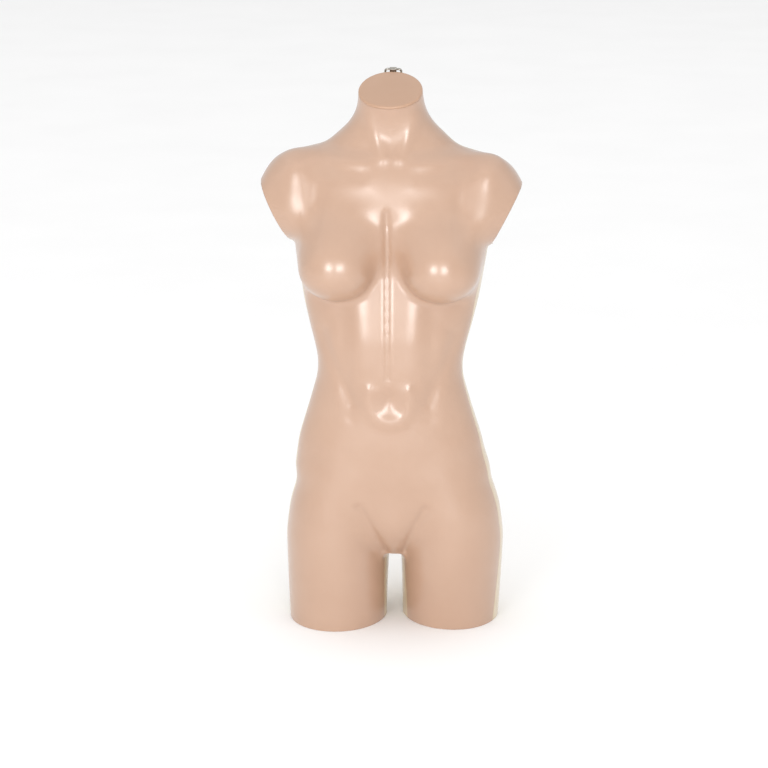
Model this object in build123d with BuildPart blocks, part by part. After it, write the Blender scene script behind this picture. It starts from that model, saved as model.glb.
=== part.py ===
"""Female three-quarter torso form for a shop display: neck, shoulders, bust, hips and two short thighs.

The body is two moulded half shells, bonded over joining strips. They meet just in front of the flanks,
and the seam runs back across each arm's end to the top of the shoulder. A cap closes the neck and
recessed plates close the thighs. The left thigh holds a steel socket for a stand rod with a clamp screw,
and the nape carries a hanging ring.

Millimetres. +Z is up, the front faces -Y, the body's left side is +X, and the thighs end at z = 0.
"""

import os
from math import cos, radians, sin

from build123d import *

os.makedirs("parts", exist_ok=True)

# ---- Driving dimensions ------------------------------------------------------------------------------

WALL = 3.0  # moulded wall
GLUE_GAP = 0.2  # between bonded pieces
RIB = 2.5  # joining strips and the neck cap's skirt
SEAM_Y = -25.0  # where the front and back shells meet at the flanks
SEAM_TOP_Y = 12.0  # where they meet over the shoulders and up the neck
SEAM_BEND = (600.0, 704.0)  # heights between which the seam runs back
OVERRUN = 6.0  # how far the hollow runs on past the open ends
BEYOND = 2000.0  # larger than the whole form, for cutting right through it

# Both thighs stand SWAY to the body's left, as in a relaxed stance, and the bottom of the trunk follows them.
SWAY = 6.5

# Horizontal sections of the trunk: height, centre x, half width, depth in front and depth behind.
TRUNK = [
    (108, SWAY, 24, 40, 42),
    (130, SWAY, 42, 64, 62),
    (160, 5, 84, 79, 80),
    (200, 3, 124, 87, 92),
    (246, 1, 151, 90, 91),
    (298, 0, 142, 89, 72),
    (350, 0, 126, 86, 61),
    (405, 0, 111, 89, 58),
    (467, 0, 121, 90, 65),
    (517, 0, 133, 81, 76),
    (567, 0, 142, 72, 87),
    (610, 0, 145, 69, 93),
    (650, 0, 138, 68, 95),
    (690, 0, 116, 64, 90),
    (725, 0, 84, 56, 80),
]

# Horizontal sections of a thigh: height, centre x, step forward or back, half width, depth in front and
# behind.
THIGH = [
    (0, 88, 12, 76, 80, 80),
    (40, 89, 9, 78, 82, 84),
    (95, 90, 4, 80, 86, 95),
    (140, 88, 0, 82, 88, 113),
    (180, 83.5, 0, 82, 87, 115),
    (225, 75, 0, 77, 82, 96),
    (260, 66, 0, 70, 74, 78),
    (290, 58, 0, 60, 62, 60),
]

# Sections across a shoulder: centre x, centre z, tilt in degrees, half height, depth in front and behind.
SHOULDER = [
    (75, 690, 3, 78, 60, 84),
    (125, 681, 10, 67, 51, 68),
    (156, 668, 20, 60, 45, 57),
    (172, 649, 30, 50, 41, 49),
]
SHOULDER_MIDDLE = (0, 690, 0, 85, 62, 85)

# Sections up the neck: centre y, centre z, forward tilt, half width, depth in front and behind.
NECK_TILT = 24.0
NECK = [
    (6, 748, 4, 86, 50, 62),
    (4, 776, 8, 76, 46, 57),
    (1, 790, 12, 62, 45, 52),
    (-2, 803, 17, 53, 45, 50),
    (-4.4, 815.2, NECK_TILT, 49, 48, 49),
    (-8.9, 825.2, NECK_TILT, 48, 48.5, 49),
    (-13.4, 835.3, NECK_TILT, 47, 49, 49),
]

# Horizontal sections of a breast: height, half width and depth in front.
BREAST_X, BREAST_Y = 79.0, -60.0
BREAST = [
    (526, 14, 10),
    (534, 34, 33),
    (549, 50, 50),
    (570, 57, 60),
    (592, 58, 58),
    (618, 52, 47),
    (645, 38, 29),
    (668, 19, 11),
]

NECK_CAP_THICKNESS = 4.0
NECK_CAP_ROUND = 2.2
NECK_SKIRT_DEPTH, NECK_SKIRT_GAP = 9.0, 0.8

# Joining strips inside the seam: the seam's y there, and the x and z limits of each one.
STRIP_WIDTH = 18.0
STRIPS = {
    "left_flank_strip": (SEAM_Y, (95, 185), (34, 590)),
    "right_flank_strip": (SEAM_Y, (-185, -95), (34, 590)),
    "left_shoulder_strip": (SEAM_TOP_Y, (62, 165), (708, 770)),
    "right_shoulder_strip": (SEAM_TOP_Y, (-165, -62), (708, 770)),
    "crotch_strip": (SEAM_Y, (-33, 47), (60, 140)),
}

# Plates that close the thighs, set up inside the rim.
PLATE_THICKNESS = 3.0
PLATE_Z = 26.0
PLATE_INSET = WALL + 0.3

# Stand socket in the left thigh, for a 22 mm rod.
SOCKET_X, SOCKET_Y = 94.0, 12.0
BORE_R = 11.3
TUBE_R = 14.0
TUBE_BOTTOM, TUBE_TOP = 3.0, 100.0
STOP_THICKNESS = 3.0
FLANGE_R, FLANGE_THICKNESS = 38.0, 3.0
FLANGE_SCREWS, SCREW_CIRCLE_R = 4, 28.0
SCREW_R, SCREW_HEAD_R, SCREW_HEAD_HEIGHT, SCREW_HEAD_ROUND = 2.5, 4.5, 2.6, 1.0
SCREW_PAST_NUT = 1.0
NUT_FLATS, NUT_HEIGHT = 8.0, 4.0
BRACE_Z, BRACE_THICKNESS, BRACE_WIDTH = 74.0, 3.0, 50.0

# Clamp screw, M8, into the back of the socket. Distances are measured back from the socket's axis.
CLAMP_Z = 12.5
CLAMP_R = 4.0
RUNNING_GAP = 0.06
CLAMP_NUT_FLATS, CLAMP_NUT_END = 13.0, 20.0
PAD_TIP, PAD_END, PAD_R = 11.6, 14.4, 3.7
PAD_STUB_R, PAD_STUB_LENGTH = 1.5, 3.0
CLAMP_SCREW_END = 33.0
KNOB_START, KNOB_END, KNOB_R, KNOB_ROUND = 27.0, 36.0, 9.0, 0.8
KNOB_FLUTES, KNOB_FLUTE_R = 6, 2.6

# Hanging ring at the nape. Distances down are measured along the neck from its top edge.
EYE_RAISE, EYE_OUT = 5.2, 3.4
EYE_R, EYE_WIDTH = 3.0, 10.0
RING_WIRE_R = 1.7
RING_HALF_WIDTH, RING_DROP, RING_CORNER = 12.0, 34.0, 4.0
STRAP_GAP, STRAP_THICKNESS, STRAP_DOWN, STRAP_CORNER = 0.35, 1.2, 25.0, 1.5
RIVETS_DOWN = (13.5, 20.5)
RIVET_R, RIVET_HEAD_R, RIVET_HEAD_HEIGHT = 1.6, 3.0, 1.2
BACKING_DEPTH, BACKING_CORNER = WALL + 0.9, 2.0
BACKING_WIDTH, BACKING_THICKNESS, BACKING_TOP, BACKING_BOTTOM = 14.0, 1.4, 10.0, 24.0

# ---- Body form ---------------------------------------------------------------------------------------


def oval(half_width, front, back):
    """Face of two half ellipses that meet at the sides; its front is towards the plane's -y."""
    with BuildLine() as outline:
        EllipticalCenterArc((0, 0), half_width, front, start_angle=180, arc_size=180)
        EllipticalCenterArc((0, 0), half_width, back, start_angle=0, arc_size=180)
    make_face(outline.line)


def neck_plane(y, z, tilt):
    """Plane across the neck, leaning forward by tilt."""
    return Plane(origin=(0, y, z), x_dir=(1, 0, 0), z_dir=(0, -sin(radians(tilt)), cos(radians(tilt))))


def shoulder_plane(side, x, z, tilt):
    """Plane across a shoulder, facing +X: local x points down and local y points back."""
    lean = side * radians(tilt)
    return Plane(origin=(side * x, 0, z), x_dir=(-sin(lean), 0, -cos(lean)), z_dir=(cos(lean), 0, -sin(lean)))


def trunk(inset):
    with BuildPart() as form:
        for row, (z, x, width, front, back) in enumerate(TRUNK):
            closed_end = inset if row == 0 else 0
            with BuildSketch(Plane(origin=(x, 0, z + closed_end))):
                oval(width - inset, front - inset, back - inset)
        loft()
    return form.part


def thigh(side, inset, overrun):
    with BuildPart() as form:
        for z, x, step, width, front, back in THIGH:
            with BuildSketch(Plane(origin=(side * x + SWAY, side * step, z))):
                oval(width - inset, front - inset, back - inset)
        loft()
        if overrun:
            extrude(form.faces().sort_by(Axis.Z)[0], amount=overrun)
    return form.part


def shoulders(inset):
    """Both shoulders in one loft, closed by a wall at each arm."""
    rows = [(-1, row) for row in reversed(SHOULDER)] + [(1, SHOULDER_MIDDLE)] + [(1, row) for row in SHOULDER]
    with BuildPart() as form:
        for side, (x, z, tilt, height, front, back) in rows:
            closed_end = inset if x == SHOULDER[-1][0] else 0
            with BuildSketch(shoulder_plane(side, x, z, tilt).offset(-side * closed_end)):
                oval(height - inset, front - inset, back - inset)
        loft()
    return form.part


def neck(inset, overrun):
    with BuildPart() as form:
        for y, z, tilt, width, front, back in NECK:
            with BuildSketch(neck_plane(y, z, tilt)):
                oval(width - inset, front - inset, back - inset)
        loft()
        if overrun:
            extrude(form.faces().sort_by(Axis.Z)[-1], amount=overrun)
    return form.part


def breast(side, inset):
    with BuildPart() as form:
        for z, width, front in BREAST:
            with BuildSketch(Plane(origin=(side * BREAST_X, BREAST_Y, z))):
                oval(width - inset, front - inset, width - inset)
        loft()
    return form.part


def body_form(inset, overrun=0.0):
    """The whole body with its surface moved in by inset and its open ends run on by overrun."""
    with BuildPart() as form:
        add(trunk(inset))
        add(shoulders(inset))
        add(neck(inset, overrun))
        for side in (1, -1):
            add(thigh(side, inset, overrun))
            add(breast(side, inset))
    return form.part


# ---- Shells ------------------------------------------------------------------------------------------

with BuildPart() as hollow_body:
    add(body_form(0))
    add(body_form(WALL, OVERRUN), mode=Mode.SUBTRACT)

# All that is in front of the seam, outlined from the side.
with BuildPart() as seam_front:
    with BuildSketch(Plane.YZ):
        with BuildLine() as seam_line:
            low, high = (SEAM_Y, SEAM_BEND[0]), (SEAM_TOP_Y, SEAM_BEND[1])
            Spline(low, high, tangents=((0, 1), (0, 1)))
            Polyline(high, (SEAM_TOP_Y, BEYOND), (-BEYOND, BEYOND), (-BEYOND, -BEYOND), (SEAM_Y, -BEYOND), low)
        make_face(seam_line.line)
    extrude(amount=BEYOND / 2, both=True)

with BuildPart() as front_shell:
    add(hollow_body.part)
    add(seam_front.part, mode=Mode.INTERSECT)

# The back shell is drilled for the rivets of the hanging strap.
NECK_END = neck_plane(*NECK[-1][:3])
NAPE_EDGE = NECK_END.from_local_coords((0, NECK[-1][5], 0))
NAPE = Plane(origin=NAPE_EDGE, x_dir=(1, 0, 0), z_dir=NECK_END.y_dir)  # faces back, local y down the neck

with BuildPart() as back_shell:
    add(hollow_body.part)
    add(seam_front.part, mode=Mode.SUBTRACT)
    with BuildSketch(NAPE):
        with Locations(*[(0, down) for down in RIVETS_DOWN]):
            Circle(RIVET_R + RUNNING_GAP)
    extrude(amount=2 * WALL, both=True, mode=Mode.SUBTRACT)

# ---- Joining strips ----------------------------------------------------------------------------------

with BuildPart() as liner:
    add(body_form(WALL + GLUE_GAP))
    add(body_form(WALL + GLUE_GAP + RIB, OVERRUN), mode=Mode.SUBTRACT)

strips = {}
for name, (seam_y, (x_low, x_high), (z_low, z_high)) in STRIPS.items():
    with BuildPart() as strip:
        add(liner.part)
        with BuildSketch(Plane.XZ.offset(-seam_y)):
            with Locations(((x_low + x_high) / 2, (z_low + z_high) / 2)):
                Rectangle(x_high - x_low, z_high - z_low)
        extrude(amount=STRIP_WIDTH / 2, both=True, mode=Mode.INTERSECT)
    strips[name] = strip.part

# ---- Neck cap and thigh plates -----------------------------------------------------------------------

NECK_END_OVAL = NECK[-1][3:]

with BuildPart() as neck_cap:
    with BuildSketch(NECK_END):
        oval(*NECK_END_OVAL)
    extrude(amount=NECK_CAP_THICKNESS)
    top_face = neck_cap.faces().sort_by(Axis(NECK_END.origin, NECK_END.z_dir))[-1]
    fillet(top_face.edges(), NECK_CAP_ROUND)
    with BuildSketch(NECK_END):
        oval(*[depth - WALL - NECK_SKIRT_GAP for depth in NECK_END_OVAL])
        with BuildSketch(NECK_END, mode=Mode.SUBTRACT):
            oval(*[depth - WALL - NECK_SKIRT_GAP - RIB for depth in NECK_END_OVAL])
    extrude(amount=-NECK_SKIRT_DEPTH)


def thigh_slice(side, inset, z, thickness):
    """Slice of a thigh's hollow, thickness high and standing on z."""
    with BuildPart() as piece:
        add(thigh(side, inset, 0))
        with BuildSketch(Plane.XY.offset(z)):
            Rectangle(BEYOND, BEYOND)
        extrude(amount=thickness, mode=Mode.INTERSECT)
    return piece.part


def on_flange_circle():
    """Places of the flange screws round the socket."""
    return PolarLocations(SCREW_CIRCLE_R, FLANGE_SCREWS, start_angle=45)


with BuildPart() as right_thigh_plate:
    add(thigh_slice(-1, PLATE_INSET, PLATE_Z, PLATE_THICKNESS))

SOCKET = Plane(origin=(SOCKET_X, SOCKET_Y, 0))

with BuildPart() as left_thigh_plate:
    add(thigh_slice(1, PLATE_INSET, PLATE_Z, PLATE_THICKNESS))
    with BuildSketch(SOCKET.offset(PLATE_Z)):
        Circle(TUBE_R + GLUE_GAP)
        with on_flange_circle():
            Circle(SCREW_R + RUNNING_GAP)
    extrude(amount=PLATE_THICKNESS, mode=Mode.SUBTRACT)

# ---- Stand socket ------------------------------------------------------------------------------------

# Across the socket, facing back from its axis at the height of the clamp screw.
CLAMP = Plane(origin=(SOCKET_X, SOCKET_Y, CLAMP_Z), x_dir=(1, 0, 0), z_dir=(0, 1, 0))

with BuildPart() as socket_tube:
    with BuildSketch(SOCKET.offset(TUBE_BOTTOM)):
        Circle(TUBE_R)
        Circle(BORE_R, mode=Mode.SUBTRACT)
    extrude(amount=TUBE_TOP - TUBE_BOTTOM)
    with BuildSketch(CLAMP):
        Circle(CLAMP_R + RUNNING_GAP)
    extrude(amount=TUBE_R + WALL, mode=Mode.SUBTRACT)

with BuildPart() as socket_stop:
    with BuildSketch(SOCKET.offset(TUBE_TOP)):
        Circle(TUBE_R)
    extrude(amount=STOP_THICKNESS)

with BuildPart() as socket_flange:
    with BuildSketch(SOCKET.offset(PLATE_Z)):
        Circle(FLANGE_R)
        Circle(TUBE_R + RUNNING_GAP, mode=Mode.SUBTRACT)
        with on_flange_circle():
            Circle(SCREW_R + RUNNING_GAP, mode=Mode.SUBTRACT)
    extrude(amount=-FLANGE_THICKNESS)

NUT_TOP = PLATE_Z + PLATE_THICKNESS + NUT_HEIGHT

with BuildPart() as flange_screws:
    with BuildSketch(SOCKET.offset(PLATE_Z - FLANGE_THICKNESS)):
        with on_flange_circle():
            Circle(SCREW_HEAD_R)
    extrude(amount=-SCREW_HEAD_HEIGHT)
    fillet(flange_screws.faces().group_by(Axis.Z)[0].edges(), SCREW_HEAD_ROUND)
    with BuildSketch(SOCKET.offset(PLATE_Z - FLANGE_THICKNESS)):
        with on_flange_circle():
            Circle(SCREW_R)
    extrude(amount=NUT_TOP + SCREW_PAST_NUT - PLATE_Z + FLANGE_THICKNESS)

with BuildPart() as flange_nuts:
    with BuildSketch(SOCKET.offset(PLATE_Z + PLATE_THICKNESS)):
        with on_flange_circle():
            RegularPolygon(NUT_FLATS / 2, 6, major_radius=False)
            Circle(SCREW_R + RUNNING_GAP, mode=Mode.SUBTRACT)
    extrude(amount=NUT_HEIGHT)

with BuildPart() as socket_brace:
    add(thigh_slice(1, WALL + GLUE_GAP, BRACE_Z, BRACE_THICKNESS))
    with BuildSketch(SOCKET.offset(BRACE_Z)):
        Rectangle(BRACE_WIDTH, BEYOND)
        Circle(TUBE_R + RUNNING_GAP, mode=Mode.SUBTRACT)
    extrude(amount=BRACE_THICKNESS, mode=Mode.INTERSECT)

# ---- Clamp screw -------------------------------------------------------------------------------------

with BuildPart() as clamp_nut:
    with BuildSketch(CLAMP):
        RegularPolygon(CLAMP_NUT_FLATS / 2, 6, major_radius=False)
        Circle(CLAMP_R + RUNNING_GAP, mode=Mode.SUBTRACT)
    extrude(amount=CLAMP_NUT_END)
    with BuildSketch(SOCKET):
        Circle(TUBE_R + RUNNING_GAP)
    extrude(amount=2 * CLAMP_Z, mode=Mode.SUBTRACT)

with BuildPart() as clamp_pad:
    with BuildSketch(CLAMP.offset(PAD_TIP)):
        Circle(PAD_R)
    extrude(amount=PAD_END - PAD_TIP)
    with BuildSketch(CLAMP.offset(PAD_END)):
        Circle(PAD_STUB_R)
    extrude(amount=PAD_STUB_LENGTH)

SCREW_START = PAD_END + GLUE_GAP

with BuildPart() as clamp_screw:
    with BuildSketch(CLAMP.offset(SCREW_START)):
        Circle(CLAMP_R)
    extrude(amount=CLAMP_SCREW_END - SCREW_START)
    with BuildSketch(CLAMP.offset(SCREW_START)):
        Circle(PAD_STUB_R + RUNNING_GAP)
    extrude(amount=PAD_STUB_LENGTH, mode=Mode.SUBTRACT)

with BuildPart() as clamp_knob:
    with BuildSketch(CLAMP.offset(KNOB_START)):
        Circle(KNOB_R)
        with PolarLocations(KNOB_R + KNOB_FLUTE_R / 2, KNOB_FLUTES):
            Circle(KNOB_FLUTE_R, mode=Mode.SUBTRACT)
    extrude(amount=KNOB_END - KNOB_START)
    fillet(clamp_knob.faces().sort_by(Axis.Y)[-1].edges(), KNOB_ROUND)
    with BuildSketch(CLAMP.offset(KNOB_START)):
        Circle(CLAMP_R)
    extrude(amount=CLAMP_SCREW_END - KNOB_START, mode=Mode.SUBTRACT)

# ---- Hanging ring ------------------------------------------------------------------------------------

EYE_CENTRE = NAPE.from_local_coords((0, -EYE_RAISE, EYE_OUT))
EYE_PLANE = Plane(origin=EYE_CENTRE, x_dir=(0, 1, 0), z_dir=(1, 0, 0))
RING_PLANE = Plane(origin=EYE_CENTRE, x_dir=(1, 0, 0), z_dir=NAPE.z_dir)

with BuildPart() as hang_strap:
    with BuildSketch(NAPE.offset(STRAP_GAP)):
        with Locations((0, (STRAP_DOWN - EYE_RAISE) / 2)):
            RectangleRounded(EYE_WIDTH, STRAP_DOWN + EYE_RAISE, STRAP_CORNER)
        with Locations(*[(0, down) for down in RIVETS_DOWN]):
            Circle(RIVET_R + RUNNING_GAP, mode=Mode.SUBTRACT)
    extrude(amount=STRAP_THICKNESS)
    with BuildSketch(EYE_PLANE):
        Circle(EYE_R)
    extrude(amount=EYE_WIDTH / 2, both=True)
    with BuildSketch(EYE_PLANE):
        Circle(RING_WIRE_R + RUNNING_GAP)
    extrude(amount=EYE_WIDTH, both=True, mode=Mode.SUBTRACT)

with BuildPart() as hang_ring:
    with BuildLine(RING_PLANE) as ring_line:
        bow_start = RING_DROP - RING_HALF_WIDTH
        FilletPolyline((0, 0), (RING_HALF_WIDTH, 0), (RING_HALF_WIDTH, bow_start), radius=RING_CORNER)
        RadiusArc((RING_HALF_WIDTH, bow_start), (-RING_HALF_WIDTH, bow_start), -RING_HALF_WIDTH)
        FilletPolyline((-RING_HALF_WIDTH, bow_start), (-RING_HALF_WIDTH, 0), (0, 0), radius=RING_CORNER)
    with BuildSketch(EYE_PLANE):
        Circle(RING_WIRE_R)
    sweep(path=ring_line.wires()[0])

with BuildPart() as hang_backing_plate:
    with BuildSketch(NAPE.offset(-BACKING_DEPTH)):
        with Locations((0, (BACKING_TOP + BACKING_BOTTOM) / 2)):
            RectangleRounded(BACKING_WIDTH, BACKING_BOTTOM - BACKING_TOP, BACKING_CORNER)
        with Locations(*[(0, down) for down in RIVETS_DOWN]):
            Circle(RIVET_R + RUNNING_GAP, mode=Mode.SUBTRACT)
    extrude(amount=-BACKING_THICKNESS)

RIVET_OUTER = STRAP_GAP + STRAP_THICKNESS
RIVET_INNER = -BACKING_DEPTH - BACKING_THICKNESS

with BuildPart() as hang_rivets:
    for start, amount, radius in (
        (RIVET_INNER, RIVET_OUTER - RIVET_INNER, RIVET_R),
        (RIVET_OUTER, RIVET_HEAD_HEIGHT, RIVET_HEAD_R),
        (RIVET_INNER, -RIVET_HEAD_HEIGHT, RIVET_HEAD_R),
    ):
        with BuildSketch(NAPE.offset(start)):
            with Locations(*[(0, down) for down in RIVETS_DOWN]):
                Circle(radius)
        extrude(amount=amount)

# ---- Export ------------------------------------------------------------------------------------------

PIECES = {
    "front_shell": front_shell.part,
    "back_shell": back_shell.part,
    **strips,
    "neck_cap": neck_cap.part,
    "right_thigh_plate": right_thigh_plate.part,
    "left_thigh_plate": left_thigh_plate.part,
    "socket_tube": socket_tube.part,
    "socket_stop": socket_stop.part,
    "socket_flange": socket_flange.part,
    "flange_screws": flange_screws.part,
    "flange_nuts": flange_nuts.part,
    "socket_brace": socket_brace.part,
    "clamp_nut": clamp_nut.part,
    "clamp_pad": clamp_pad.part,
    "clamp_screw": clamp_screw.part,
    "clamp_knob": clamp_knob.part,
    "hang_strap": hang_strap.part,
    "hang_ring": hang_ring.part,
    "hang_backing_plate": hang_backing_plate.part,
    "hang_rivets": hang_rivets.part,
}

for name, piece in PIECES.items():
    piece.label = name
    export_step(piece, f"parts/{name}.step")
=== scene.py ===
"""Looks of the female three-quarter torso form: skins, neck cap, materials, light and camera.

The two body skins come from one smooth distance function, in millimetres, in the frame of the CAD part.
Its surface is meshed, cut flat at the thighs, neck and arms, and parted at the seam of the shells.
"""

import math

import bmesh
import bpy
import numpy as np
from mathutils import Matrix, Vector


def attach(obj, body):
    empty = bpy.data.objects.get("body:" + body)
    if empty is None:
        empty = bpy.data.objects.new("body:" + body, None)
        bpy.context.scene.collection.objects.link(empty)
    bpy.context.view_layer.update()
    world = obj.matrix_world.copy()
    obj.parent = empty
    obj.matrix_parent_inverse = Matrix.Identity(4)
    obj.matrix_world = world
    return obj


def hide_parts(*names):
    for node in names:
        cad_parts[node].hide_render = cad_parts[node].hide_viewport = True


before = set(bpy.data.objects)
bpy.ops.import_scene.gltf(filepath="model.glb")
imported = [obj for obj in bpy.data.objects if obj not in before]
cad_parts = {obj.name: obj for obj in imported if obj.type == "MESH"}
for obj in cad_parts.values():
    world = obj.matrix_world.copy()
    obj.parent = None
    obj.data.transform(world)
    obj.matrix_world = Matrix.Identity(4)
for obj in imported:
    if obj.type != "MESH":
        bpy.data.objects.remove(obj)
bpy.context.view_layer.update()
MM = 0.001

# ---- Camera ------------------------------------------------------------------------------------------

CAMERA_AZIMUTH = math.radians(5.0)
CAMERA_ELEVATION = math.radians(17.0)
CAMERA_DISTANCE = 3.46
CAMERA_TARGET = Vector((-0.011, 0.0, 0.378))
CAMERA_LENS, SENSOR_WIDTH = 104.9, 36.0  # mm


def direction(azimuth, elevation):
    """Unit vector from the object towards an azimuth and elevation; azimuth 0 is in front of it."""
    level = math.cos(elevation)
    return Vector((math.sin(azimuth) * level, -math.cos(azimuth) * level, math.sin(elevation)))


def aim(thing, target):
    thing.rotation_euler = (target - thing.location).to_track_quat("-Z", "Y").to_euler()


camera = bpy.data.objects.new("camera", bpy.data.cameras.new("camera"))
bpy.context.scene.collection.objects.link(camera)
camera.data.lens = CAMERA_LENS
camera.data.sensor_width = SENSOR_WIDTH
camera.location = CAMERA_TARGET + CAMERA_DISTANCE * direction(CAMERA_AZIMUTH, CAMERA_ELEVATION)
aim(camera, CAMERA_TARGET)
bpy.context.scene.camera = camera

# ---- Body form ---------------------------------------------------------------------------------------

WALL = 3.0
SEAM_Y = -25.0  # where the shells meet at the flanks
SEAM_TOP_Y = 12.0  # where they meet over the shoulders and up the neck
SEAM_BEND = (600.0, 704.0)  # heights between which the seam runs back
CROTCH_Z = 116.0
THIGH_TOP = 300.0
SWAY = 6.5  # both thighs stand this far to the body's left
LEFT_SHOULDER_DROP, DROP_REACH = 3.0, 150.0  # the drop, and the distance from the middle where it is full
THIGH_SKEW = 0.05  # turns the thighs' fronts outwards: shift in x for each mm forward
NECK_TILT = math.radians(24.0)
NECK_END = (0.0, -13.4, 835.3)  # middle of the shells' edge under the neck cap
ARM_CORNER = (197.0, 696.0)  # top of an arm opening, x and z
ARM_PIT = (150.5, 604.0)  # bottom of an arm opening, x and z

# Horizontal sections of the trunk and neck: height, middle x, half width, front y, back y, squareness.
TRUNK = [
    (100, 6.5, 16, -30, 34, 2.0),
    (118, 6.5, 28, -50, 50, 2.0),
    (132, 6.5, 42, -65, 64, 2.0),
    (160, 5, 84, -79, 80, 2.1),
    (200, 3, 124, -87, 92, 2.2),
    (246, 1, 151, -90, 91, 2.25),
    (298, 0, 142, -89, 72, 2.25),
    (350, 0, 126, -86, 61, 2.2),
    (402, 0, 111, -89.5, 58, 2.1),
    (430, 0, 111, -90.5, 60, 2.1),
    (467, 0, 120.5, -88, 65, 2.15),
    (517, 0, 133, -80, 76, 2.2),
    (567, 0, 141.5, -70, 87, 2.2),
    (610, 0, 143.5, -69, 93, 2.2),
    (650, 0, 138, -68.5, 95, 2.1),
    (670, 0, 128, -65.5, 93, 2.1),
    (690, 0, 116, -59.5, 90, 2.1),
    (720, 0, 92, -58.5, 81, 2.0),
    (745, 0, 86, -52, 71, 2.0),
    (765, 0, 84, -46, 63, 2.0),
    (780, 0, 69, -45.5, 57.5, 2.0),
    (795, 0, 57, -48, 52.5, 2.0),
    (812, 0, 50, -55, 48, 2.0),
    (835, 0, 47.5, -66, 40, 2.0),
    (880, 0, 45, -86, 20, 2.0),
]

# Upright sections across a shoulder: x, top z, bottom z, front edge y, back edge y.
SHOULDER = [
    (0, 744, 612, -64, 84),
    (40, 758, 611, -64, 84),
    (66, 763, 610, -62, 82),
    (95, 755, 609, -58, 77),
    (125, 747, 608, -52, 71),
    (157, 740, 608, -46, 62),
    (175, 731, 608, -41, 55),
    (188, 717, 608, -37, 50),
    (198, 698, 606, -33, 45),
    (212, 668, 604, -28, 38),
]

# Horizontal sections of a thigh: height, middle x, step forward or back, half width, depth in front and
# behind.
THIGH = [
    (-20, 87.5, 13, 75, 79, 79),
    (0, 88, 12, 76, 80, 80),
    (45, 89, 9, 77.5, 82, 84),
    (95, 89.5, 4, 79.5, 86, 93),
    (140, 88.5, 1, 82, 88, 94),
    (190, 83.5, 0, 80.5, 87, 90),
    (225, 76, 0, 77, 84, 84),
    (260, 66, 0, 70, 76, 70),
    (300, 56, 0, 52, 56, 50),
    (330, 50, 0, 30, 30, 30),
]

# Ellipsoids of the seat and the breasts: centre and radii. The breasts hang, so they are shorter below.
CHEEK_CENTRE, CHEEK_RADII = (63, 50, 162), (69, 67, 67)
BREAST_CENTRE, BREAST_RADII, BREAST_LOW_RADIUS = (79, -62, 578), (57, 58, 66), 51
BREAST_SHIFT = 2.0  # the pair stands this far to the body's left
EGG_BLEND = 60  # height over which an ellipsoid changes from its upper to its lower radius

# Fillets where the forms join: the place where each starts to grow and over what length, then its first
# radius and how much it grows.
SHOULDER_FILLET = (615, 60), (7, 19)
CHEEK_FILLET = (100, 90), (6, 26)
BREAST_FILLET = (550, 95), (12, 53)
BREAST_SIDE_FILLET = (100, 30), (0, 24)  # added with the distance from the middle
THIGH_FILLET = 22.0

RELIEF_TURN_Y, RELIEF_TURN_DEPTH = -5, 40  # where the front's relief gives way to the back's

# The middle line of the front: height and x.
MIDLINE = [(100, 10), (250, 8), (376, 4.5), (417, 2), (540, 0), (663, -2), (742, 4.5), (800, 4.5)]


def smooth_curves(rows, spread=9.0):
    """One smooth function of the first column for each other column of rows."""
    rows = np.array(rows, float)
    places = np.arange(rows[0, 0] - 40, rows[-1, 0] + 41, 1.0)
    weights = np.exp(-0.5 * (np.arange(-30, 31) / spread) ** 2)
    weights /= weights.sum()
    curves = []
    for column in rows.T[1:]:
        values = np.interp(places, rows[:, 0], column)
        padded = np.pad(values, 30, mode="edge")
        curves.append(np.convolve(padded, weights, mode="valid"))
    return lambda t: [np.interp(t, places, values) for values in curves]


def smooth_step(t):
    t = np.clip(t, 0.0, 1.0)
    return t * t * (3 - 2 * t)


def growing(t, span, sizes):
    """A value that starts as the first of sizes and grows by the second over the span."""
    start, length = span
    first, growth = sizes
    return first + growth * smooth_step((t - start) / length)


def join(a, b, k):
    """Union of two distances with a fillet of about k."""
    h = np.maximum(k - np.abs(a - b), 0) / k
    return np.minimum(a, b) - h * h * k / 4


def oval_distance(across, along, half_width, front, back, squareness=2.0):
    """Distance from an oval with its own front and back edge."""
    middle = (front + back) / 2
    half_depth = (back - front) / 2
    u = np.abs(across) / half_width
    v = np.abs(along - middle) / half_depth
    r = (u**squareness + v**squareness + 1e-6) ** (1 / squareness)
    return (np.hypot(across, along - middle) + 0.001 * half_width) * (1 - 1 / r)


def egg_distance(x, y, z, centre, radii, low_radius=None):
    """Distance from an ellipsoid, which may have another radius below its centre."""
    dx, dy, dz = x - centre[0], y - centre[1], z - centre[2]
    rise = radii[2]
    if low_radius is not None:
        rise = low_radius + (radii[2] - low_radius) * smooth_step(0.5 + dz / EGG_BLEND)
    r = np.sqrt((dx / radii[0]) ** 2 + (dy / radii[1]) ** 2 + (dz / rise) ** 2 + 1e-6)
    return (np.sqrt(dx * dx + dy * dy + dz * dz) + 0.001 * radii[0]) * (1 - 1 / r)


def stroke(u, v, start, bend, end, width):
    """Soft line along a bent path from start to end in the plane of u and v: 1 on it, 0 away from it."""
    nearest = np.full(np.shape(u), 1e9)
    steps = np.linspace(0, 1, 9)[:, None]
    start, bend, end = np.array(start), np.array(bend), np.array(end)
    points = (1 - steps) ** 2 * start + 2 * steps * (1 - steps) * bend + steps**2 * end
    for a, b in zip(points[:-1], points[1:]):
        run = b - a
        t = np.clip(((u - a[0]) * run[0] + (v - a[1]) * run[1]) / (run @ run), 0, 1)
        nearest = np.minimum(nearest, (u - a[0] - t * run[0]) ** 2 + (v - a[1] - t * run[1]) ** 2)
    return np.exp(-nearest / width**2)


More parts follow.
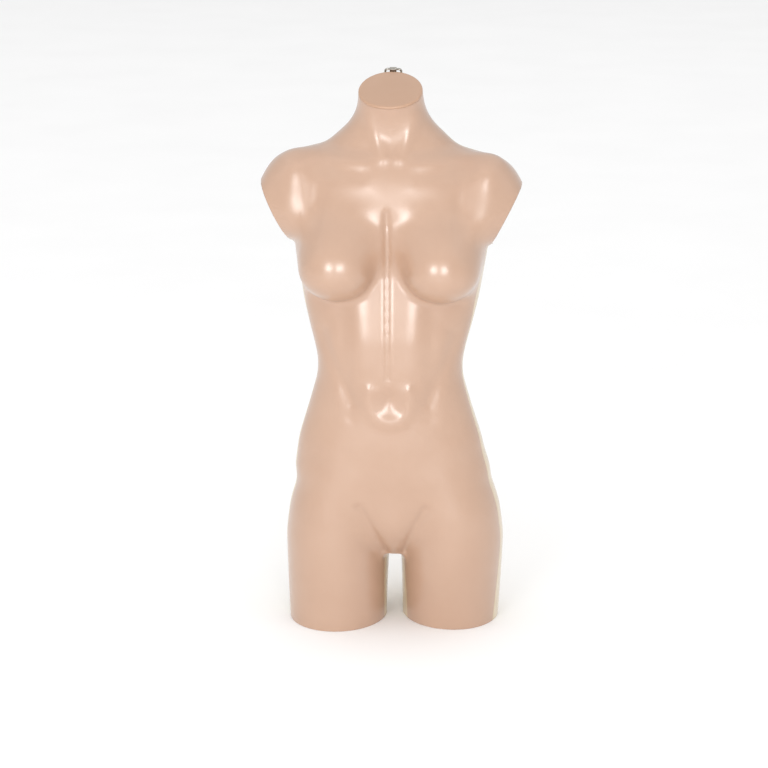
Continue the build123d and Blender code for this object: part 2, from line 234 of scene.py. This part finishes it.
def spot(u, v, centre, width, height):
    """Soft oval spot in the plane of u and v: 1 in its middle, 0 away from it."""
    return np.exp(-(((u - centre[0]) / width) ** 2) - ((v - centre[1]) / height) ** 2)


trunk_at = smooth_curves(TRUNK)
shoulder_at = smooth_curves(SHOULDER, 6.0)
thigh_at = smooth_curves(THIGH)
midline_at = smooth_curves(MIDLINE)


def seam_y(z):
    """Where the front and back shells meet at a height."""
    low, high = SEAM_BEND
    return SEAM_Y + (SEAM_TOP_Y - SEAM_Y) * smooth_step((z - low) / (high - low))


def front_relief(x, z):
    """How far the muscles, bones and creases of the front stand proud of the plain form."""
    x = x - midline_at(z)[0]
    side = np.abs(x)
    relief = -2.2 * stroke(x, z, (0, 664), (0, 540), (0, 414), 4.8)  # middle groove
    relief += 1.4 * stroke(side, z, (38, 600), (40, 524), (36, 430), 17.0)  # long belly muscles
    relief -= 2.2 * stroke(side, z, (66, 500), (66, 430), (60, 350), 12.0)  # their outer edges
    relief -= 1.2 * stroke(side, z, (66, 520), (84, 498), (104, 462), 13.0)  # edge of the ribs
    relief -= 2.6 * stroke(side, z, (100, 476), (84, 424), (58, 372), 10.0)  # slant of the waist
    relief -= 4.6 * spot(x, z, (0, 379), 12, 15)  # navel
    relief += 4.4 * stroke(side, z, (30, 392), (37, 344), (0, 343), 12.0)  # rim round the navel
    relief += 3.0 * spot(x, z, (0, 312), 56, 40)  # lower belly
    relief += 4.5 * spot(x, z, (0, 176), 26, 30)  # mound
    relief -= 3.4 * stroke(side, z, (52, 204), (32, 172), (15, 124), 7.0)  # groin
    relief += 2.4 * spot(side, z, (92, 290), 26, 26)  # hip bone
    relief += 1.2 * stroke(side, z, (34, 735), (66, 735), (124, 744), 9.0)  # collarbone
    relief -= 2.0 * stroke(side, z, (36, 753), (70, 754), (104, 756), 9.0)  # hollow above it
    relief -= 1.8 * stroke(side, z, (44, 718), (80, 722), (112, 722), 12.0)  # hollow below it
    relief += 3.0 * stroke(side, z, (34, 796), (22, 767), (12, 744), 11.0)  # neck muscle
    relief -= 2.6 * stroke(side, z, (104, 730), (112, 690), (130, 614), 18.0)  # fold before the armpit
    relief += 4.0 * stroke(side, z, (146, 736), (152, 700), (160, 664), 26.0)  # front of the shoulder
    relief += 9.0 * spot(side, z, (148, 736), 34.0, 28.0)  # top of the shoulder
    relief += 2.0 * spot(x, z, (148, 722), 30.0, 26.0)  # the left one is fuller
    return relief


def back_relief(x, z):
    """How far the muscles, bones and creases of the back stand proud of the plain form."""
    side_x = np.abs(x)
    relief = -5.5 * stroke(x, z, (0, 735), (0, 500), (0, 250), 10.0)  # spine
    relief += 3.0 * stroke(side_x, z, (26, 560), (30, 440), (24, 300), 14.0)  # muscles beside it
    relief += 4.5 * spot(side_x, z, (72, 662), 30, 38)  # shoulder blade
    relief -= 3.0 * stroke(side_x, z, (42, 690), (52, 630), (84, 598), 12.0)  # its inner edge
    relief -= 2.6 * spot(side_x, z, (33, 262), 9, 10)  # dimples
    relief -= 3.0 * stroke(side_x, z, (148, 716), (124, 680), (128, 620), 9.0)  # fold behind the armpit
    return relief


def body_distance(x, y, z):
    """Signed distance from the body's surface, in millimetres, negative inside."""
    side_x = np.abs(x)
    middle, width, front, back, squareness = trunk_at(z)
    form = oval_distance(x - middle, y, width, front, back, squareness)
    form = np.maximum(form, CROTCH_Z - z)

    top, bottom, front, back = shoulder_at(side_x)
    top = top - LEFT_SHOULDER_DROP * smooth_step(x / DROP_REACH)
    shoulder = oval_distance(z - (top + bottom) / 2, y, (top - bottom) / 2, front, back)
    form = join(form, shoulder, growing(z, *SHOULDER_FILLET))

    middle, step, width, front, back = thigh_at(z)
    step = step * np.where(x > 0, 1, -1)
    thigh = oval_distance(np.abs(x - SWAY) - middle + THIGH_SKEW * y, y - step, width, -front, back)
    thigh = np.maximum(thigh, z - THIGH_TOP)
    form = join(form, thigh, THIGH_FILLET)

    cheek = egg_distance(np.abs(x - SWAY / 2), y, z, CHEEK_CENTRE, CHEEK_RADII)
    form = join(form, cheek, growing(z, *CHEEK_FILLET))

    across = np.abs(x - BREAST_SHIFT)
    breast = egg_distance(across, y, z, BREAST_CENTRE, BREAST_RADII, BREAST_LOW_RADIUS)
    form = join(form, breast, growing(z, *BREAST_FILLET) + growing(side_x, *BREAST_SIDE_FILLET))

    frontness = smooth_step(0.5 - (y - RELIEF_TURN_Y) / RELIEF_TURN_DEPTH)
    form = form - frontness * front_relief(x, z)
    form = form - (1 - frontness) * back_relief(x, z)
    return form


# ---- Meshing -----------------------------------------------------------------------------------------

CELL = 3.0
SLAB = 24  # layers of cells that are worked out at a time
SLOPE_STEP = 0.1  # mm
LOW, HIGH = (-216.0, -138.0, -12.0), (216.0, 138.0, 880.0)


def sample_grid():
    axes = [np.arange(low, high + CELL, CELL) for low, high in zip(LOW, HIGH)]
    values = np.empty([len(axis) for axis in axes], np.float32)
    for first in range(0, len(axes[2]), SLAB):
        z = axes[2][first : first + SLAB]
        values[:, :, first : first + SLAB] = body_distance(axes[0][:, None, None], axes[1][None, :, None], z)
    return values


def surface_net(values):
    """Quads round the zero surface of a grid of values: points in cells and lists of four corners."""
    shape = np.array(values.shape) - 1
    inside = values < 0
    total = np.zeros((*shape, 3))
    count = np.zeros(shape, int)
    crossings = []
    for axis in range(3):
        first = np.take(values, range(shape[axis]), axis)
        second = np.take(values, range(1, shape[axis] + 1), axis)
        edges = np.argwhere((first < 0) != (second < 0))
        a, b = first[tuple(edges.T)], second[tuple(edges.T)]
        points = edges.astype(float)
        points[:, axis] += a / (a - b)
        crossings.append((axis, edges))
        others = [i for i in range(3) if i != axis]
        for back_0 in (0, 1):
            for back_1 in (0, 1):
                cells = edges.copy()
                cells[:, others[0]] -= back_0
                cells[:, others[1]] -= back_1
                keep = np.all((cells >= 0) & (cells < shape), axis=1)
                np.add.at(total, tuple(cells[keep].T), points[keep])
                np.add.at(count, tuple(cells[keep].T), 1)
    used = count > 0
    number = np.full(shape, -1)
    number[used] = np.arange(used.sum())
    points = total[used] / count[used][:, None]
    quads = []
    for axis, edges in crossings:
        one, two = [i for i in range(3) if i != axis]
        keep = (edges[:, [one, two]] > 0) & (edges[:, [one, two]] < shape[[one, two]])
        edges = edges[keep.all(1)]
        ring = []
        for back_one, back_two in ((1, 1), (0, 1), (0, 0), (1, 0)):
            cells = edges.copy()
            cells[:, one] -= back_one
            cells[:, two] -= back_two
            ring.append(number[tuple(cells.T)])
        ring = np.stack(ring, 1)
        outward = inside[tuple(edges.T)] == (axis != 1)
        ring[~outward] = ring[~outward][:, ::-1]
        quads.append(ring)
    return points, np.concatenate(quads)


def settle(points, quads, rounds=3):
    """Evens out the points along the surface and moves them exactly onto it."""
    ends = np.concatenate([quads[:, [0, 1]], quads[:, [1, 2]], quads[:, [2, 3]], quads[:, [3, 0]]])
    ends = np.concatenate([ends, ends[:, ::-1]])
    degree = np.bincount(ends[:, 0], minlength=len(points))[:, None]
    for _ in range(rounds):
        mean = np.stack([np.bincount(ends[:, 0], points[ends[:, 1], i], len(points)) for i in range(3)], 1)
        points = points + 0.5 * (mean / degree - points)
        points = points - surface_step(points)
    return points - surface_step(points)


def surface_step(points):
    """Step from the surface to each point, from the distance there and its slope."""
    value = body_distance(*points.T)
    shifts = SLOPE_STEP * np.eye(3)
    slope = np.stack([body_distance(*(points + shift).T) - value for shift in shifts], 1) / SLOPE_STEP
    step = slope * (value / np.maximum((slope * slope).sum(1), 0.01))[:, None]
    return np.clip(step, -2, 2)


# ---- Cutting -----------------------------------------------------------------------------------------

ARM_EDGE, NECK_EDGE, THIGH_EDGE, SEAM_EDGE = 1.8, 0.5, 0.9, 0.6  # radii of the rounded edges
ARM_REGION_X = 125  # an arm's cut stays outside this x
ARM_REGION_DROP = 6  # and above a height this far below the arm opening's lower corner
END_FACE_RINGS = (0.98, 0.86, 0.64, 0.42, 0.2)  # sizes of the rings that close an arm, as shares of its rim
SHARP_ANGLE = math.radians(50)


def cut(form, point, normal, radius, segments=4, region=None):
    """Cuts form along a plane, drops what is beyond it and rounds the edge. Returns the edge's vertices."""
    point, normal = Vector(point), Vector(normal).normalized()
    turns = [math.pi / 2 * i / segments for i in range(segments + 1)]
    rings = []
    for turn in turns:
        faces = [f for f in form.faces if region is None or all(region(v.co) for v in f.verts)]
        verts = {v for f in faces for v in f.verts}
        edges = {e for f in faces for e in f.edges}
        made = bmesh.ops.bisect_plane(
            form,
            geom=[*verts, *edges, *faces],
            dist=0.01,
            plane_co=point - normal * radius * (1 - math.sin(turn)),
            plane_no=normal,
            clear_outer=turn == turns[-1],
        )
        rings.append((turn, [v for v in made["geom_cut"] if isinstance(v, bmesh.types.BMVert)]))
    form.normal_update()
    moves = {}
    for turn, ring in rings:
        for vert in ring:
            if vert.is_valid:
                outward = (vert.normal - normal * vert.normal.dot(normal)).normalized()
                moves[vert] = outward * radius * (1 - math.cos(turn))
    for vert, move in moves.items():
        vert.co -= move
    return [v for v in rings[-1][1] if v.is_valid]


def close(form, rim):
    """Closes the oval hole inside a rim with a flat face made of narrowing rings."""
    edges = [e for e in form.edges if e.is_boundary and e.verts[0] in rim and e.verts[1] in rim]
    middle = sum((v.co for v in rim), Vector()) / len(rim)
    reach = 1.0
    for closer in END_FACE_RINGS:
        made = bmesh.ops.extrude_edge_only(form, edges=edges)["geom"]
        for vert in made:
            if isinstance(vert, bmesh.types.BMVert):
                vert.co = middle + (vert.co - middle) * closer / reach
        edges = [e for e in made if isinstance(e, bmesh.types.BMEdge) and e.is_boundary]
        reach = closer
    bmesh.ops.holes_fill(form, edges=edges)


def beside_arm(point, side):
    """True for a point near the end of the arm on that side."""
    return side * point.x > ARM_REGION_X and point.z > ARM_PIT[1] - ARM_REGION_DROP


def body_form():
    """The whole body, open at the neck and thighs."""
    points, quads = surface_net(sample_grid())
    points = settle(points * CELL + LOW, quads)
    form = bmesh.new()
    verts = [form.verts.new(p) for p in points]
    for quad in quads:
        form.faces.new([verts[i] for i in quad])
    neck_axis = Vector((0, -math.sin(NECK_TILT), math.cos(NECK_TILT)))
    cut(form, NECK_END, neck_axis, NECK_EDGE, 2)
    cut(form, (0, 0, 0), (0, 0, -1), THIGH_EDGE, 2)
    slope = Vector((ARM_CORNER[0] - ARM_PIT[0], 0, ARM_CORNER[1] - ARM_PIT[1]))
    for side in (1, -1):
        point = (side * ARM_CORNER[0], 0, ARM_CORNER[1])
        normal = (side * slope.z, 0, -slope.x)
        rim = cut(form, point, normal, ARM_EDGE, region=lambda p: beside_arm(p, side))
        close(form, set(rim))
    bmesh.ops.recalc_face_normals(form, faces=form.faces)
    return form


def finished(form, name):
    """A smooth shaded object, in metres, from a form in millimetres."""
    mesh = bpy.data.meshes.new(name)
    bmesh.ops.scale(form, vec=(MM, MM, MM), verts=form.verts)
    form.to_mesh(mesh)
    form.free()
    thing = bpy.data.objects.new(name, mesh)
    bpy.context.scene.collection.objects.link(thing)
    mesh.shade_smooth()
    return thing


def shift_seam(form, way):
    """Moves the form so that the seam is a flat plane at y = 0 (way -1), or moves it back (way 1)."""
    for vert in form.verts:
        vert.co.y += way * float(seam_y(vert.co.z))


def half_skin(form, name, side):
    """One moulded half of the body with its wall; side is -1 for the front and 1 for the back."""
    half = form.copy()
    shift_seam(half, -1)
    cut(half, (0, 0, 0), (0, -side, 0), SEAM_EDGE, 2)
    shift_seam(half, 1)
    skin = finished(half, name)
    thicken(skin, WALL)
    return skin


def trim(form, point, normal):
    """Drops what is beyond a plane and leaves the edge open."""
    bmesh.ops.bisect_plane(
        form,
        geom=[*form.verts, *form.edges, *form.faces],
        dist=0.01,
        plane_co=point,
        plane_no=normal,
        clear_outer=True,
    )


def thicken(thing, thickness):
    """Gives an open surface a wall on its inner side, and marks its sharp edges."""
    wall = thing.modifiers.new("wall", "SOLIDIFY")
    wall.thickness = thickness * MM
    wall.offset = -1
    evaluated = thing.evaluated_get(bpy.context.evaluated_depsgraph_get())
    thing.data = bpy.data.meshes.new_from_object(evaluated)
    thing.modifiers.clear()
    thing.data.set_sharp_from_angle(angle=SHARP_ANGLE)


# Joining strips inside the seam: x and z limits of each one.
STRIPS = {
    "left_flank_strip": ((95, 185), (34, 590)),
    "right_flank_strip": ((-185, -95), (34, 590)),
    "left_shoulder_strip": ((62, 165), (708, 770)),
    "right_shoulder_strip": ((-165, -62), (708, 770)),
    "crotch_strip": ((-33, 47), (60, 140)),
}
STRIP_WIDTH, STRIP_THICKNESS, GLUE_GAP = 18.0, 2.5, 0.2


def joining_strip(form, name, x_limits, z_limits):
    """Strip bonded across the seam inside the body, within its x and z limits."""
    band = form.copy()
    shift_seam(band, -1)
    for side in (0, 1):
        outward = 2 * side - 1
        trim(band, (0, outward * STRIP_WIDTH / 2, 0), (0, outward, 0))
        trim(band, (x_limits[side], 0, 0), (outward, 0, 0))
        trim(band, (0, 0, z_limits[side]), (0, 0, outward))
    shift_seam(band, 1)
    band.normal_update()
    for vert in band.verts:
        vert.co -= vert.normal * (WALL + GLUE_GAP)
    strip = finished(band, name + "_inside")
    thicken(strip, STRIP_THICKNESS)
    return strip


body = body_form()
front_skin = half_skin(body, "front_skin", -1)
back_skin = half_skin(body, "back_skin", 1)
strips = {name: joining_strip(body, name, *limits) for name, limits in STRIPS.items()}
body.free()

# ---- Neck cap ----------------------------------------------------------------------------------------

# Rings of the neck cap: distance in from the neck's outline and height above the neck's end.
CAP_SKIRT = [(6.2, -7.0), (3.9, -7.0), (3.9, 0.15)]
CAP_EDGE = [(0.5, 0.15), (0.05, 0.5), (0.0, 1.2), (0.1, 2.2), (0.6, 3.2), (1.4, 3.8), (2.5, 4.05)]
CAP_TOP = [(4.0, 4.1), (10.0, 4.3), (20.0, 4.6), (32.0, 4.8)]
CAP_CROWN = 4.9
CAP_POINTS = 144  # round the outline


def neck_outline(count):
    """Directions round the neck's axis and the distance to the body's surface along each."""
    across = np.array([1.0, 0.0, 0.0])
    along = np.array([0.0, math.cos(NECK_TILT), math.sin(NECK_TILT)])
    turns = np.linspace(0, 2 * math.pi, count, endpoint=False)
    rays = np.outer(np.cos(turns), across) + np.outer(np.sin(turns), along)
    low, high = np.full(count, 20.0), np.full(count, 80.0)
    for _ in range(24):
        middle = (low + high) / 2
        inside = body_distance(*(np.array(NECK_END) + rays * middle[:, None]).T) < 0
        low, high = np.where(inside, middle, low), np.where(inside, high, middle)
    return rays, middle


def neck_cap():
    """The cap with its skirt inside the neck, from rings that follow the neck's outline."""
    rays, reach = neck_outline(CAP_POINTS)
    axis = np.array([0, -math.sin(NECK_TILT), math.cos(NECK_TILT)])
    form = bmesh.new()
    rings = []
    for inset, height in CAP_SKIRT + CAP_EDGE + CAP_TOP:
        points = np.array(NECK_END) + rays * (reach - inset)[:, None] + axis * height
        rings.append([form.verts.new(p) for p in points])
    for lower, upper in zip(rings[:-1], rings[1:]):
        for i in range(len(lower)):
            form.faces.new((lower[i - 1], lower[i], upper[i], upper[i - 1]))
    form.faces.new(rings[0][::-1])
    crown = form.verts.new(np.array(NECK_END) + axis * CAP_CROWN)
    for i in range(len(rings[-1])):
        form.faces.new((rings[-1][i - 1], rings[-1][i], crown))
    cap = finished(form, "neck_cap_skin")
    cap.data.set_sharp_from_angle(angle=SHARP_ANGLE)
    return cap


cap_skin = neck_cap()

# ---- Materials ---------------------------------------------------------------------------------------

NOISE_RANGE = (0.3, 0.7)
COAT_ROUGHNESS = 0.24


def new_material(name):
    """A material with its Principled shader, and a function that adds nodes to it."""
    material = bpy.data.materials.new(name)
    material.use_nodes = True
    tree = material.node_tree
    shader = tree.nodes["Principled BSDF"]

    def node(kind, **values):
        made = tree.nodes.new(kind)
        for key, value in values.items():
            if key in made.inputs:
                made.inputs[key].default_value = value
            else:
                setattr(made, key, value)
        return made

    return material, shader, node, tree.links.new


def noise(node, link, place, scale, detail=3.0):
    made = node("ShaderNodeTexNoise", Scale=scale, Detail=detail)
    link(place.outputs["Object"], made.inputs["Vector"])
    return made.outputs["Fac"]


def spread(node, link, value, low, high):
    """A noise value, most of which lies in NOISE_RANGE, taken to the range low to high."""
    made = node("ShaderNodeMapRange")
    made.inputs["From Min"].default_value = NOISE_RANGE[0]
    made.inputs["From Max"].default_value = NOISE_RANGE[1]
    made.inputs["To Min"].default_value = low
    made.inputs["To Max"].default_value = high
    link(value, made.inputs["Value"])
    return made.outputs["Result"]


def two_tone(node, link, value, first, second):
    made = node("ShaderNodeMix", data_type="RGBA")
    made.inputs["A"].default_value = (*first, 1)
    made.inputs["B"].default_value = (*second, 1)
    link(value, made.inputs["Factor"])
    return made.outputs["Result"]


def gloss_plastic(name, first, second, roughness=(0.28, 0.36), coat=0.7):
    """Moulded plastic with cloudy colour and a faint orange-peel surface."""
    material, shader, node, link = new_material(name)
    place = node("ShaderNodeTexCoord")
    cloud = spread(node, link, noise(node, link, place, 14.0), 0.0, 1.0)
    link(two_tone(node, link, cloud, first, second), shader.inputs["Base Color"])
    link(spread(node, link, noise(node, link, place, 60.0), *roughness), shader.inputs["Roughness"])
    peel = node("ShaderNodeBump", Strength=0.3, Distance=0.00004)
    link(noise(node, link, place, 130.0, 2.0), peel.inputs["Height"])
    link(peel.outputs["Normal"], shader.inputs["Normal"])
    shader.inputs["Specular IOR Level"].default_value = 0.6
    shader.inputs["Coat Weight"].default_value = coat
    shader.inputs["Coat Roughness"].default_value = COAT_ROUGHNESS
    return material


def matt_plastic(name, first, second, roughness=(0.5, 0.62)):
    """Plain moulded plastic with a fine grain."""
    material, shader, node, link = new_material(name)
    place = node("ShaderNodeTexCoord")
    cloud = spread(node, link, noise(node, link, place, 25.0), 0.0, 1.0)
    link(two_tone(node, link, cloud, first, second), shader.inputs["Base Color"])
    link(spread(node, link, noise(node, link, place, 90.0), *roughness), shader.inputs["Roughness"])
    fine = node("ShaderNodeBump", Strength=0.35, Distance=0.0002)
    link(noise(node, link, place, 900.0, 2.0), fine.inputs["Height"])
    link(fine.outputs["Normal"], shader.inputs["Normal"])
    return material


def plated_steel(name, first, second, roughness):
    """Plated steel with faint drawn lines and cloudy plating."""
    material, shader, node, link = new_material(name)
    place = node("ShaderNodeTexCoord")
    cloud = spread(node, link, noise(node, link, place, 80.0), 0.0, 1.0)
    link(two_tone(node, link, cloud, first, second), shader.inputs["Base Color"])
    link(spread(node, link, noise(node, link, place, 220.0), *roughness), shader.inputs["Roughness"])
    lines = node("ShaderNodeBump", Strength=0.2, Distance=0.0001)
    link(noise(node, link, place, 1500.0, 2.0), lines.inputs["Height"])
    link(lines.outputs["Normal"], shader.inputs["Normal"])
    shader.inputs["Metallic"].default_value = 1.0
    return material


front_plastic = gloss_plastic("front_plastic", (0.460, 0.294, 0.206), (0.440, 0.276, 0.190))
back_plastic = gloss_plastic("back_plastic", (0.600, 0.480, 0.318), (0.580, 0.460, 0.300))
# The cap's colour is a little darker than the front's: painted shade, for its top facing up away from the
# lights.
cap_plastic = gloss_plastic("cap_plastic", (0.455, 0.277, 0.180), (0.435, 0.261, 0.168), (0.36, 0.46), 0.2)
plate_plastic = matt_plastic("plate_plastic", (0.56, 0.40, 0.31), (0.52, 0.37, 0.28))
strip_plastic = matt_plastic("strip_plastic", (0.62, 0.55, 0.46), (0.58, 0.51, 0.43))
knob_plastic = matt_plastic("knob_plastic", (0.018, 0.018, 0.019), (0.026, 0.026, 0.027), (0.38, 0.5))
nylon = matt_plastic("nylon", (0.78, 0.76, 0.70), (0.72, 0.70, 0.64))
zinc = plated_steel("zinc", (0.60, 0.61, 0.62), (0.50, 0.51, 0.53), (0.30, 0.42))
fastener_zinc = plated_steel("fastener_zinc", (0.62, 0.60, 0.55), (0.53, 0.51, 0.47), (0.24, 0.36))
nickel = plated_steel("nickel", (0.40, 0.38, 0.34), (0.35, 0.33, 0.30), (0.12, 0.22))

CAD_MATERIALS = {
    plate_plastic: ["left_thigh_plate", "right_thigh_plate"],
    zinc: ["socket_tube", "socket_stop", "socket_flange", "socket_brace"],
    fastener_zinc: ["flange_screws", "flange_nuts", "clamp_nut", "clamp_screw", "hang_backing_plate"],
    nylon: ["clamp_pad"],
    knob_plastic: ["clamp_knob"],
    nickel: ["hang_strap", "hang_ring", "hang_rivets"],
}


def paint(thing, material):
    thing.data.materials.clear()
    thing.data.materials.append(material)


def stand_for(piece, node_name, material):
    """Paints a piece and puts it in the place of its CAD node."""
    paint(piece, material)
    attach(piece, "form")
    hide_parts(node_name)


for material, names in CAD_MATERIALS.items():
    for name in names:
        paint(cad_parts[name], material)

for skin, material, node_name, slot_name in (
    (front_skin, front_plastic, "front_shell", "front_plastic"),
    (back_skin, back_plastic, "back_shell", "back_plastic"),
    (cap_skin, cap_plastic, "neck_cap", "cap_plastic"),
):
    stand_for(skin, node_name, material)

for name, strip in strips.items():
    stand_for(strip, name, strip_plastic)

# ---- Floor and light ---------------------------------------------------------------------------------


FLOOR_SIZE = 12000  # mm, from its middle to each side
WORLD_STRENGTH = 0.84
LIGHT_TARGET = Vector((0, 0, 0.45))

# Lights: name, azimuth, elevation, distance, width, height and power.
LIGHTS = [
    ("left_key", -18, 8, 2.8, 0.8, 0.5, 21),
    ("right_key", 12, 8, 2.8, 0.8, 0.5, 20),
    ("left_fill", -70, 30, 3.0, 1.6, 1.6, 1.5),
    ("right_fill", 75, 30, 3.0, 1.6, 1.6, 2),
    ("overhead", 0, 90, 6.0, 16.0, 16.0, 250),
]


def floor():
    form = bmesh.new()
    bmesh.ops.create_grid(form, x_segments=1, y_segments=1, size=FLOOR_SIZE)
    thing = finished(form, "floor")
    material, shader, node, link = new_material("floor_paint")
    place = node("ShaderNodeTexCoord")
    cloud = spread(node, link, noise(node, link, place, 3.0), 0.0, 1.0)
    link(two_tone(node, link, cloud, (0.95, 0.95, 0.95), (0.93, 0.93, 0.93)), shader.inputs["Base Color"])
    shader.inputs["Roughness"].default_value = 0.8
    paint(thing, material)


def soft_light(name, azimuth, elevation, distance, width, height, power):
    lamp = bpy.data.lights.new(name, "AREA")
    lamp.shape = "RECTANGLE"
    lamp.size, lamp.size_y, lamp.energy = width, height, power
    thing = bpy.data.objects.new(name, lamp)
    bpy.context.scene.collection.objects.link(thing)
    thing.location = LIGHT_TARGET + distance * direction(math.radians(azimuth), math.radians(elevation))
    aim(thing, LIGHT_TARGET)


floor()
for light in LIGHTS:
    soft_light(*light)

world = bpy.data.worlds.new("studio")
bpy.context.scene.world = world
world.use_nodes = True
world.node_tree.nodes["Background"].inputs["Color"].default_value = (1, 1, 1, 1)
world.node_tree.nodes["Background"].inputs["Strength"].default_value = WORLD_STRENGTH
bpy.context.scene.view_settings.view_transform = "Standard"
